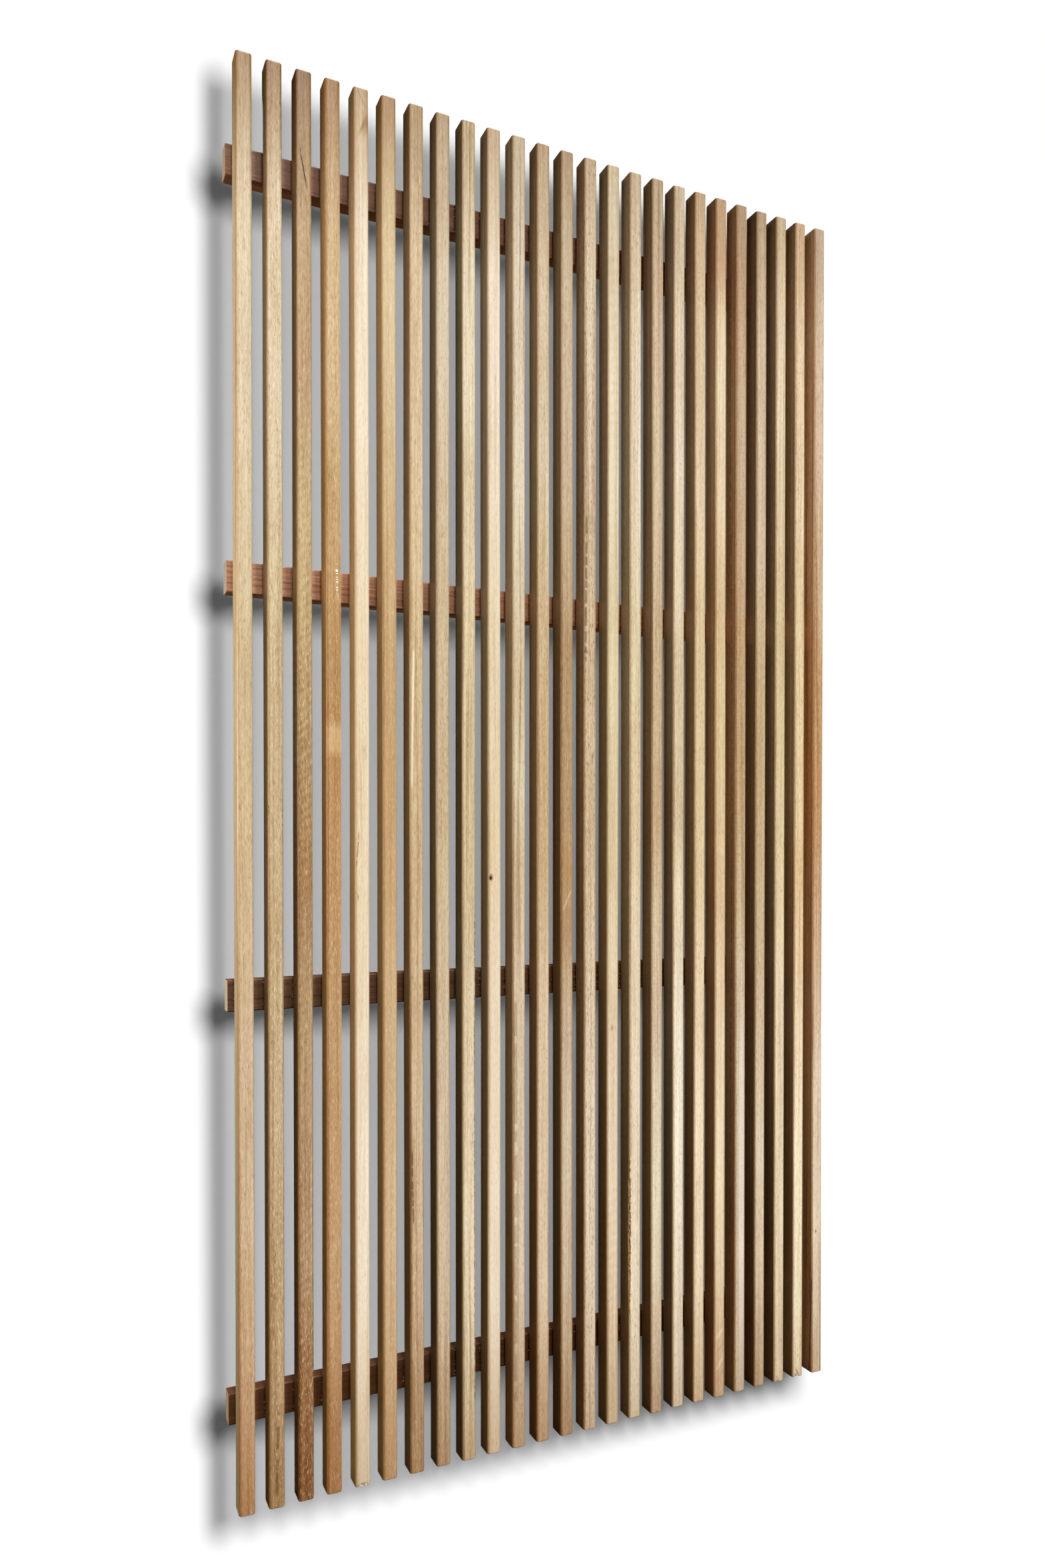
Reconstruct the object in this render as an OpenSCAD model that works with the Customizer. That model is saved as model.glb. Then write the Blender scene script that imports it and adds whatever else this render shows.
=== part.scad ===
// Timber privacy screen: upright hardwood battens screwed from behind to four rails.
// X runs along the rails, Y from the front faces of the battens to the backs of the
// rails, and Z upwards. The origin is at the bottom, in the middle of width and depth.

/* [Battens] */
// Number of upright battens
batten_count = 25; // [3:1:45]
// Width of a batten's front face
batten_w = 20; // [14:1:45]
// Depth of a batten, from its front face to the rails
batten_d = 28; // [25:1:60]
// Length of a batten
batten_len = 1800; // [1400:10:2400]
// Radius of a batten's four long corners
batten_corner_r = 4; // [1:0.5:5]
// Clear gap between neighbouring battens
batten_gap = 17; // [6:1:60]

/* [Rails] */
// Height of a rail
rail_h = 40; // [20:1:90]
// Thickness of a rail, from the battens to its back face
rail_t = 20; // [12:1:45]
// Radius of a rail's four long corners
rail_corner_r = 2; // [0.5:0.5:5]
// Length of rail that runs past each outer batten
rail_overhang = 8; // [0:1:150]
// Distance from the batten tops down to the middle of the top rail
top_rail_drop = 118; // [60:1:400]
// Distance from the batten tops down to the middle of the upper middle rail
upper_rail_drop = 634; // [250:1:1000]
// Distance from the batten bottoms up to the middle of the lower middle rail
lower_rail_rise = 642; // [250:1:1000]
// Distance from the batten bottoms up to the middle of the bottom rail
bottom_rail_rise = 122; // [60:1:400]

/* [Screws] */
// Diameter of a screw's shank
screw_d = 4.2; // [3:0.1:6]
// Depth that a screw reaches into its batten
screw_bite = 20; // [10:1:22]
// Length of a screw's tapered point
point_len = 6; // [2:0.5:8]
// Diameter of a screw's flat end at the tip of the point
tip_d = 0.8; // [0.4:0.1:2]
// Diameter of a countersunk head, whose cone is a right angle
head_d = 8; // [7.5:0.1:12]
// Thickness of the straight rim above a head's cone
head_rim = 0.4; // [0.2:0.1:1]
// Depth of a head below the back face of its rail
head_sink = 0.4; // [0:0.1:2]
// Width of the square drive recess
drive_w = 2.8; // [2:0.1:3.2]
// Depth of the square drive recess
drive_depth = 1.6; // [0.8:0.1:2]
// Clearance all round a screw in its rail
rail_hole_play = 0.15; // [0.05:0.05:0.5]
// Clearance all round a screw in its batten
batten_hole_play = 0.05; // [0.05:0.05:0.2]
// Free depth of a batten's hole past the tip of the screw
hole_spare = 2; // [0.5:0.5:2.5]

/* [Hidden] */
// Plain names of the rails, from the top down, and the height of each one's middle
RAILS = ["top_rail", "upper_middle_rail", "lower_middle_rail", "bottom_rail"];
rail_z = [
    batten_len - top_rail_drop,
    batten_len - upper_rail_drop,
    lower_rail_rise,
    bottom_rail_rise
];

// Batten nodes are numbered from the left, seen from the front
function batten_node(i) = str("batten_", i < 10 ? "0" : "", i);
function screws_node(rail) = str(rail, "_screws");
batten_nodes = [for (i = [1 : batten_count]) batten_node(i)];
screw_nodes = [for (rail = RAILS) screws_node(rail)];

// Widths and depths of the whole panel
pitch = batten_w + batten_gap;
batten_row_w = (batten_count - 1) * pitch + batten_w;
rail_len = batten_row_w + 2 * rail_overhang;
panel_d = batten_d + rail_t;

// Planes across the depth: battens' front, the joint of battens and rails, rails' back
front_y = -panel_d / 2;
joint_y = front_y + batten_d;
back_y = joint_y + rail_t;

// Middle of a batten's width, counted from the left
function batten_x(i) = (i - (batten_count + 1) / 2) * pitch;

// Heights along a screw, measured from the top of its head towards the point
head_cone_h = (head_d - screw_d) / 2;
screw_len = rail_t - head_sink + screw_bite;
shank_len = screw_len - head_rim - head_cone_h - point_len;
batten_hole_depth = screw_bite + hole_spare;

// Length added to a cutter where it leaves a face
cut_past = 1;

// Timber colours, named for how each batten looks from the front
straw = "#B99F78";
honey = "#B98F60";
rose = "#A58468";
cream = "#CDB48A";
olive = "#A8946C";
merbau = "#6E432E";
steel = "#B9BBBD";
batten_tones = [
    straw, straw, rose, honey, cream, honey, rose, olive, olive, cream,
    straw, straw, rose, rose, straw, olive, straw, straw, straw, rose,
    rose, olive, olive, honey, rose
];
function tone(i) = batten_tones[(i - 1) % len(batten_tones)];

$fn = 48;

// Rectangle centred on the origin with round corners
module rounded_bar_section(w, h, r) {
    square([w - 2 * r, h], center = true);
    square([w, h - 2 * r], center = true);
    for (x = [-1, 1], y = [-1, 1])
        translate([x * (w / 2 - r), y * (h / 2 - r)]) circle(r = r);
}

// Places its child at a screw's head on the back face, with +Z running into the timber
module at_screw(x, z) {
    translate([x, back_y, z]) rotate([90, 0, 0]) children();
}

// Space that a screw takes in its rail: a straight bore with a countersunk mouth
module rail_hole() {
    bore_r = screw_d / 2 + rail_hole_play;
    mouth_r = head_d / 2 + rail_hole_play;
    mouth_depth = head_sink + head_rim;
    translate([0, 0, -cut_past]) cylinder(r = bore_r, h = rail_t + 2 * cut_past);
    translate([0, 0, -cut_past]) cylinder(r = mouth_r, h = mouth_depth + cut_past);
    translate([0, 0, mouth_depth]) cylinder(r1 = mouth_r, r2 = bore_r, h = head_cone_h);
}

// Blind hole that a screw takes in its batten
module batten_hole() {
    translate([0, 0, rail_t - cut_past])
        cylinder(r = screw_d / 2 + batten_hole_play, h = batten_hole_depth + cut_past);
}

// Upright batten with a blind hole for the screw at each rail
module batten(i) {
    color(tone(i)) difference() {
        translate([batten_x(i), front_y + batten_d / 2, 0])
            linear_extrude(batten_len) rounded_bar_section(batten_w, batten_d, batten_corner_r);
        for (z = rail_z) at_screw(batten_x(i), z) batten_hole();
    }
}

// Level rail with a countersunk hole behind each batten
module rail(z) {
    color(merbau) difference() {
        translate([-rail_len / 2, joint_y + rail_t / 2, z]) rotate([90, 0, 90])
            linear_extrude(rail_len) rounded_bar_section(rail_t, rail_h, rail_corner_r);
        for (i = [1 : batten_count]) at_screw(batten_x(i), z) rail_hole();
    }
}

// Countersunk wood screw with a square drive, head at the origin and point along +Z
module screw() {
    shank_start = head_rim + head_cone_h;
    difference() {
        union() {
            cylinder(d = head_d, h = head_rim);
            translate([0, 0, head_rim]) cylinder(d1 = head_d, d2 = screw_d, h = head_cone_h);
            translate([0, 0, shank_start]) cylinder(d = screw_d, h = shank_len);
            translate([0, 0, shank_start + shank_len])
                cylinder(d1 = screw_d, d2 = tip_d, h = point_len);
        }
        translate([-drive_w / 2, -drive_w / 2, -cut_past])
            cube([drive_w, drive_w, drive_depth + cut_past]);
    }
}

// Row of screws that fixes one rail to all the battens
module rail_screws(z) {
    color(steel)
        for (i = [1 : batten_count])
            at_screw(batten_x(i), z) translate([0, 0, head_sink]) screw();
}

for (i = [1 : batten_count])
    batten(i);
for (r = [0 : len(RAILS) - 1])
    rail(rail_z[r]);
for (r = [0 : len(RAILS) - 1])
    rail_screws(rail_z[r]);
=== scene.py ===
# Timber privacy screen: round-cornered hardwood battens screwed from behind to four
# dark rails. Lengths are in metres unless a name or comment says mm.
import math
import random
from functools import partial

import bmesh
import bpy
from mathutils import Matrix, Vector


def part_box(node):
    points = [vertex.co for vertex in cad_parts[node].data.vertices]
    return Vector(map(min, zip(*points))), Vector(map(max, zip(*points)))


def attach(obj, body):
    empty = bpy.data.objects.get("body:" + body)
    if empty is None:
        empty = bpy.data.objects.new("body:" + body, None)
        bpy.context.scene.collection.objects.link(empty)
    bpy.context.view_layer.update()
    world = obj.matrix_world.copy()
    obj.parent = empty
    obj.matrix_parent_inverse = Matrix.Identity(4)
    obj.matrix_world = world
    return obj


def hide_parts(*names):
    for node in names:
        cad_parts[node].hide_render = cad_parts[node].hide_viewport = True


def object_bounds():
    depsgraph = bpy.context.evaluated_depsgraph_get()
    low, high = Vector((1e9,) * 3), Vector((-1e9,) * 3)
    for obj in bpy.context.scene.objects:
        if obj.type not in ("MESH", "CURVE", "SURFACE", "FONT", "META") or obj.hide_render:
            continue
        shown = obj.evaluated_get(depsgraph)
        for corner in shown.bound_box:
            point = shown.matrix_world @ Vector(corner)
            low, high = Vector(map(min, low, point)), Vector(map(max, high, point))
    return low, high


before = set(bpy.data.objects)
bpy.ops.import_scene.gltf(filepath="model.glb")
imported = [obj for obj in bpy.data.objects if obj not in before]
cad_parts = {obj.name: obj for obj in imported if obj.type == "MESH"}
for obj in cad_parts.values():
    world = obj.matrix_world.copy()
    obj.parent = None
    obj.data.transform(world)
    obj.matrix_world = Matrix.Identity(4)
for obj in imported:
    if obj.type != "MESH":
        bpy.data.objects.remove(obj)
cad_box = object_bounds()

# Camera
# Stands left of the panel at the height of its lower half and looks to the right along
# it, level but for half a degree. The upward shift keeps the uprights parallel.
LENS_MM = 24.505
LONG_SIDE_MM = 36.0
EYE = (-0.6816, -1.3603, 0.8165)
TURN_RIGHT_DEG = 24.63
TILT_DOWN_DEG = 0.60
FRAME_SHIFT = 0.0535


def new_object(name, data):
    """Puts an object made of this mesh, lamp or camera in the scene."""
    thing = bpy.data.objects.new(name, data)
    bpy.context.scene.collection.objects.link(thing)
    return thing


camera = new_object("camera", bpy.data.cameras.new("camera"))
camera.data.sensor_fit = "VERTICAL"
camera.data.sensor_height = LONG_SIDE_MM
camera.data.lens = LENS_MM
camera.data.shift_y = FRAME_SHIFT
camera.data.clip_start = 0.01
camera.location = EYE
camera.rotation_euler = (math.radians(90 - TILT_DOWN_DEG), 0, math.radians(-TURN_RIGHT_DEG))
bpy.context.scene.camera = camera
bpy.context.scene.view_settings.view_transform = "Standard"


# Timber
# Every stick is sawn and planed from a light or a dark tropical hardwood and left
# almost bare, so its fibres, pores, ripple and end grain give the surface its look.
def linear(hex_code):
    """Turns an sRGB hex code into the linear colour that a shader takes."""
    channels = [int(hex_code[k:k + 2], 16) / 255 for k in (1, 3, 5)]
    return tuple(c / 12.92 if c <= 0.04045 else ((c + 0.055) / 1.055) ** 2.4 for c in channels) + (1.0,)


def add_node(tree, kind, inputs=(), operation=None, **settings):
    """Adds a node with its settings. Its inputs come in their order, or by name in a dict."""
    node = tree.nodes.new("ShaderNode" + kind)
    if operation:
        node.operation = operation
    for name, value in settings.items():
        setattr(node, name, value)
    usable = [socket for socket in node.inputs if socket.enabled]
    if not isinstance(inputs, dict):
        inputs = dict(enumerate(inputs))
    for key, value in inputs.items():
        socket = usable[key] if isinstance(key, int) else next(s for s in usable if s.name == key)
        if isinstance(value, bpy.types.Node):
            value = next(out for out in value.outputs if out.enabled)
        if isinstance(value, bpy.types.NodeSocket):
            tree.links.new(value, socket)
        else:
            socket.default_value = value
    return node


def new_material(name):
    """Makes a node material without nodes, and the function that adds a node to it."""
    material = bpy.data.materials.new(name)
    material.use_nodes = True
    material.node_tree.nodes.clear()
    return material, partial(add_node, material.node_tree)


# Sizes in mm of the timber's own detail, across the grain and along it. A pore is
# really 0.2 mm wide, and is drawn wider so that it shows at all.
FIBRE_MM = (2.6, 190)
FINE_FIBRE_MM = (1.0, 26)
PORE_MM = (0.9, 7)
STREAK_MM = (4.5, 520)
CLOUD_MM = (45, 130)
WANDER_MM = (90, 600)
CURL_MM = (5, 16)
RING_MM = 4.0
SAW_LINE_MM = 2.4
SAW_TIP_DEG = 58
# A wave of scale 1 is this long in metres, and sticks are cut this far apart
WAVE_OF_ONE = 0.314
NEXT_STICK = 2.1
# Values of a pattern between which a streak, pore or fleck, or a break in a line, begins
STREAK_EDGE = (0.56, 0.68)
PORE_EDGE = (0.58, 0.70)
FLECK_EDGE = (0.42, 0.30)
BREAK_EDGE = 0.03
# How ragged a knot's rim is, and how far its halo and its heart spread past their sizes
KNOT_RAGGED = 0.0012
HALO_PAST = 0.0008
HEART_PAST = 0.0004
# How far a face has to turn to be a narrow face, a sawn face or an end
NARROW_EDGE = (0.60, 0.95)
SAWN_EDGE = (-0.70, -0.95)
END_EDGE = (0.75, 0.95)
# Satin planed wood: the ends of its pattern, how much its gloss varies between them, and
# how deep its grain can be felt
PATTERN_ENDS = (0.3, 0.7)
GLOSS_SPREAD = 0.05
PORE_RELIEF = -0.7
SAW_RELIEF = 2.0
GRAIN_DEPTH = 0.0004
GRAIN_SHARE = 0.4
WOOD_IOR = 1.5

# A glaze tints the wood and a fill covers it. Less than nothing takes the tint away.
GLAZE = dict(data_type="RGBA", blend_type="MULTIPLY", clamp_factor=False)
FILL = dict(data_type="RGBA", clamp_factor=False)


def per_metre(sizes_mm):
    """Pattern scale that gives features of this size across and along the grain."""
    across, along = sizes_mm
    return (1000 / across, 1000 / across, 1000 / along)


def draw_mark(add, wood, girth, height, crumble, mark):
    """Draws a line or patch of the stick, as wide as it says, between two places."""
    start_z, start_g = (mm / 1000 for mm in mark["start"])
    end_z, end_g = (mm / 1000 for mm in mark["end"])
    line = add("MapRange", [height, start_z, end_z, start_g, end_g], clamp=False)
    off = add("Math", [girth, line], "SUBTRACT")
    off = add("Math", [off], "ABSOLUTE")
    off = add("Math", [crumble, mark["ragged"] / 1000, off], "MULTIPLY_ADD")
    edge = (mark["half"] + 0.5 * mark["ragged"]) / 1000
    near = add("MapRange", [off, edge, edge + mark["soft"] / 1000, mark["strength"], 0.0],
               interpolation_type="SMOOTHSTEP")
    reach = abs(start_z - end_z) / 2
    away = add("Math", [height, (start_z + end_z) / 2], "SUBTRACT")
    away = add("Math", [away], "ABSOLUTE")
    within = add("MapRange", [away, reach - mark["fade"] / 1000, reach, 1.0, 0.0])
    amount = add("Math", [near, within], "MULTIPLY")
    if mark["broken"]:
        turn = add("Math", [height, 1000 / mark["piece"]], "MULTIPLY")
        gaps = add("TexNoise", {"W": turn, "Scale": 1.0, "Detail": 2.0}, noise_dimensions="1D")
        whole = add("MapRange", [gaps, mark["broken"] - BREAK_EDGE, mark["broken"] + BREAK_EDGE])
        amount = add("Math", [amount, whole], "MULTIPLY")
    return add("Mix", [amount, wood, linear(mark["colour"])], **FILL)


def draw_knot(add, wood, far, crumble, knot):
    """Draws a knot's halo and dark heart round the middle that its grain parts for."""
    rough_far = add("Math", [crumble, KNOT_RAGGED, far], "MULTIPLY_ADD")
    heart_r, halo_r = knot["heart"] / 1000, knot["halo"] / 1000
    halo = add("MapRange", [rough_far, HALO_PAST + heart_r, HALO_PAST + halo_r, knot["tint"], 0.0])
    wood = add("Mix", [halo, wood, linear(knot["halo_colour"])], **GLAZE)
    heart = add("MapRange", [rough_far, HEART_PAST + heart_r, HALO_PAST + heart_r, 1.0, 0.0])
    return add("Mix", [heart, wood, linear(knot["colour"])], **FILL)


def flow_round(add, grain, girth, height, knot):
    """Makes the grain part and close again round a knot, and gives how near its heart is."""
    knot_z, knot_g = knot["at"]
    side = add("Math", [girth, knot_g / 1000], "SUBTRACT")
    up = add("Math", [height, knot_z / 1000], "SUBTRACT")
    up = add("Math", [up, 1 / knot["stretch"]], "MULTIPLY")
    away = add("CombineXYZ", [side, up])
    far = add("VectorMath", [away], "LENGTH").outputs["Value"]
    parting = add("Math", [knot["reach"] / 1000, far], "DIVIDE")
    parting = add("Math", [parting, 2.0], "POWER")
    parting = add("Math", [parting, 1.0], "MINIMUM")
    shift = add("Math", [side, parting], "MULTIPLY")
    shift = add("CombineXYZ", [shift])
    return add("VectorMath", [grain, shift], "SUBTRACT"), far


def timber(name, look, centre, seed, along_x=False, painted_light_and_shade=None):
    """Planed hardwood. Its pattern is solid, so faces, sides and ends belong together."""
    material, add = new_material(name)
    place = add("TexCoord")
    stick = add("VectorMath", [place.outputs["Object"], centre], "SUBTRACT")
    turn = (0, math.radians(-90), 0) if along_x else (0, 0, 0)
    stick = add("Mapping", {"Vector": stick, "Rotation": turn, "Location": (0, 0, NEXT_STICK * seed)})
    height = add("SeparateXYZ", [place.outputs["Object"]]).outputs["Z"]
    girth = add("Attribute", attribute_name="girth").outputs["Fac"]

    # Fibres wander slowly from side to side, curl a little and part round knots
    grain = stick
    for kind, size, detail in (("wander", WANDER_MM, 1.0), ("curl", CURL_MM, 0.0)):
        scaled = add("VectorMath", [stick, per_metre(size)], "MULTIPLY")
        noise = add("TexNoise", {"Vector": scaled, "Scale": 1.0, "Detail": detail})
        sway = (look[kind], look[kind], 0)
        grain = add("VectorMath", [noise.outputs["Color"], sway, grain], "MULTIPLY_ADD")
    hearts = []
    for knot in look["knots"]:
        grain, far = flow_round(add, grain, girth, height, knot)
        hearts.append((far, knot))

    field = {}
    for kind, size, detail in (("fibre", FIBRE_MM, 2.0), ("fine", FINE_FIBRE_MM, 2.0),
                               ("pore", PORE_MM, 1.0), ("streak", STREAK_MM, 1.0), ("cloud", CLOUD_MM, 1.0)):
        scaled = add("VectorMath", [grain, per_metre(size)], "MULTIPLY")
        field[kind] = add("TexNoise", {"Vector": scaled, "Scale": 1.0, "Detail": detail})

    # Growth rings stand round a pith beside the stick, which leans and so makes flames
    lean = add("Mapping", {"Vector": grain, "Rotation": look["lean"], "Location": look["pith"]})
    across = add("VectorMath", [lean, (1, 1, 0)], "MULTIPLY")
    radius = add("VectorMath", [across], "LENGTH").outputs["Value"]
    radius = add("Math", [radius, 1000 / RING_MM], "MULTIPLY")
    field["rings"] = add("TexNoise", {"W": radius, "Scale": 1.0, "Detail": 2.0}, noise_dimensions="1D")

    # Light and dark fibres, rings and clouds, each as strong as this stick has it
    kinds = ("fibre", "fine", "rings", "cloud")
    lightness = 0.5 - 0.5 * sum(look[kind] for kind in kinds)
    for kind in kinds:
        lightness = add("Math", [field[kind], look[kind], lightness], "MULTIPLY_ADD")
    wood = add("Mix", [lightness, linear(look["dark"]), linear(look["light"])], data_type="RGBA")

    # The tone drifts along the stick, on its narrow faces often less than on its front
    normal = add("SeparateXYZ", [place.outputs["Normal"]])
    narrow = add("Math", [normal.outputs["X"]], "ABSOLUTE")
    narrow = add("MapRange", [narrow, *NARROW_EDGE])
    drift = add("Attribute", attribute_name="drift").outputs["Fac"]
    share = add("MapRange", [narrow, 0.0, 1.0, 1.0, look["side_drift"]])
    drift = add("Math", [drift, share], "MULTIPLY")
    wood = add("Mix", [drift, wood, linear(look["second"])], **GLAZE)

    # Ripple: the surface lightens and darkens in bands across the wavy grain
    tilt = (0, math.radians(look["ripple_tilt"]), 0)
    banded = add("Mapping", {"Vector": grain, "Rotation": tilt})
    band = add("TexWave", {"Vector": banded, "Scale": WAVE_OF_ONE * 1000 / look["ripple_mm"],
                           "Distortion": 4.0, "Detail": 2.0, "Detail Scale": 1.5}, bands_direction="Z")
    ripple = add("Attribute", attribute_name="ripple").outputs["Fac"]
    band = add("Math", [band, 0.5], "SUBTRACT")
    shade = add("Math", [band, ripple, 1.0], "MULTIPLY_ADD")
    wood = add("VectorMath", [wood, shade], "SCALE")

    # Long darker streaks, short pores, and flecks where the cut grazes the fibres
    streak = add("MapRange", [field["streak"], *STREAK_EDGE, 0.0, look["streaks"]])
    wood = add("Mix", [streak, wood, linear(look["streak"])], **GLAZE)
    pore = add("MapRange", [field["pore"], *PORE_EDGE, 0.0, look["pores"]])
    wood = add("Mix", [pore, wood, linear(look["pore"])], **GLAZE)
    grazed = add("Math", [ripple, look["ripple_flecks"], look["flecks"]], "MULTIPLY_ADD")
    fleck = add("MapRange", [field["pore"], *FLECK_EDGE])
    fleck = add("Math", [fleck, grazed], "MULTIPLY")
    wood = add("Mix", [fleck, wood, linear(look["fleck"])], **FILL)

    for mark in look["marks"]:
        wood = draw_mark(add, wood, girth, height, field["fine"], mark)
    for far, knot in hearts:
        wood = draw_knot(add, wood, far, field["pore"], knot)
    # Battens get painted light and shade here
    if painted_light_and_shade:
        wood = painted_light_and_shade(add, wood, look, girth, height, narrow)

    # Some sticks show the curved lines of the saw on their left faces
    tipped = add("Mapping", {"Vector": stick, "Rotation": (math.radians(SAW_TIP_DEG), 0, 0)})
    lines = add("TexWave", {"Vector": tipped, "Scale": WAVE_OF_ONE * 1000 / SAW_LINE_MM,
                            "Distortion": 1.5, "Detail": 1.0}, bands_direction="Z")
    sawn = add("MapRange", [normal.outputs["X"], *SAWN_EDGE, 0.0, look["saw"]])
    lines = add("Math", [lines, 0.5], "SUBTRACT")
    lines = add("Math", [lines, sawn], "MULTIPLY")
    shade = add("Math", [lines, 1.0], "ADD")
    wood = add("VectorMath", [wood, shade], "SCALE")

    # End grain has a tone of its own, and the inside of a check is painted nearly black, as
    # painted shade
    end = add("Math", [normal.outputs["X" if along_x else "Z"]], "ABSOLUTE")
    end = add("MapRange", [end, *END_EDGE, 0.0, look["end_share"]])
    wood = add("Mix", [end, wood, linear(look["end"])], **FILL)
    dark = add("Attribute", attribute_name="dark").outputs["Fac"]
    wood = add("Mix", [dark, wood, linear("#1C120A")], **FILL)

    # Fine fibres vary the satin gloss, and pores and saw lines can be felt
    rough = [look["rough"] - GLOSS_SPREAD, look["rough"] + GLOSS_SPREAD]
    rough = add("MapRange", [field["fine"], *PATTERN_ENDS, *rough])
    relief = add("Math", [field["pore"], PORE_RELIEF, field["fine"]], "MULTIPLY_ADD")
    relief = add("Math", [lines, SAW_RELIEF, relief], "MULTIPLY_ADD")
    bump = add("Bump", {"Strength": GRAIN_SHARE, "Distance": GRAIN_DEPTH, "Height": relief})
    surface = add("BsdfPrincipled", {"Base Color": wood, "Roughness": rough, "Normal": bump,
                                     "IOR": WOOD_IOR, "Specular IOR Level": look["shine"]})
    add("OutputMaterial", [surface])
    return material


# Battens
# Light mixed hardwood, 20 x 28 mm, with hand-rounded long corners and square-cut ends.
# Each is a natural stick: a little crooked, and some have a check, a knot or bark left.
CORNER_R = 0.004
CORNER_STEPS = 6
FACE_COLUMNS = 11
SIDE_COLUMNS = 3
LEVEL_STEP = 0.030
FINE_STEP = 0.003
END_CHAMFER = 0.0009
END_CHAMFER_STEPS = 3
END_RING = 0.002
# How far a stick is sprung to one side, and how far it is cut long or short
CROOK = 0.0005
TRIM = 0.0006
FULL_TURN = 6.28
# Where the pith of a stick's log lay, to its side and behind it, and how far it leaned
PITH_ASIDE = 0.07
PITH_BEHIND = (0.02, 0.08)
PITH_LEAN = 0.01
# Edges sharper than this stay sharp in shading, and places closer than this are one
SHARP_DEG = 38
SAME = 1e-6

# Each tone's light and dark wood, and the glaze that it drifts to
TONES = {
    "straw": ("#D1C2A7", "#B09A75", "#E9CBB5"), "oat": ("#DBCEB1", "#B9A37F", "#E6CBB3"),
    "tan": ("#D3C3AA", "#AF9776", "#E4C3AF"), "dusky": ("#CBBC9F", "#A98F6E", "#E2C0AB"),
    "honey": ("#C8B38F", "#AC9066", "#E2BFA4"), "amber": ("#BCA37B", "#A38357", "#E2BFA4"),
    "brown": ("#BBA47D", "#927550", "#DEB8A0"), "cream": ("#E0D6C4", "#CCBA9C", "#EBD8C2"),
    "greyed": ("#D3C6AE", "#B49F7F", "#E2CDB7"), "ash": ("#D9CDB7", "#B9A587", "#E2CDB7"),
    "olive": ("#DBCCAF", "#B3A07D", "#DFCCB1"), "pink": ("#D1BF9D", "#AF906C", "#E0BCA8"),
    "rose": ("#CFC0A6", "#AE9176", "#E4C096"),
}
# Plain timber. Its side sets the painted light on the narrow faces, and its corner colour is painted shade
# on the front left corner
PLAIN = dict(fibre=1.3, fine=1.1, rings=0.5, cloud=0.6, wander=0.010, curl=0.0006, streaks=0.25,
             streak="#C09870", pores=0.45, pore="#A8845C", flecks=0.20, fleck="#F6E9CC", ripple_mm=9,
             ripple_tilt=25, ripple_flecks=0.0, end="#A88A5E", end_share=0.55, arris="#D4BDA2", rough=0.34,
             shine=0.5, saw=0.0, level=1.0, side=1.0, side_drift=1.0, ripple={}, marks=(), knots=())
# Near black, for bark left on some sticks and for painted shade along a check
BARK_AND_CHECK_SHADE = "#150E08"
STAIN = "#8A6236"
PALE = "#F8EFD8"


def mark(start, end, half, colour, strength=1.0, soft=0.4, ragged=1.0, fade=6.0, broken=0.0, piece=12.0):
    """A line on a stick. Places are (height, girth) in mm, and girth 0 is mid front."""
    return dict(start=start, end=end, half=half, colour=colour, strength=strength, soft=soft, ragged=ragged,
                fade=fade, broken=broken, piece=piece)


def knot(at, reach, heart=0.0, halo=3.0, tint=0.5, colour="#1A100A", halo_colour="#A87C50", stretch=2.5):
    """A knot, or a swirl of grain where heart is 0. Sizes and place are in mm."""
    return dict(at=at, reach=reach, heart=heart, halo=halo, tint=tint, colour=colour,
                halo_colour=halo_colour, stretch=stretch)
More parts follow.
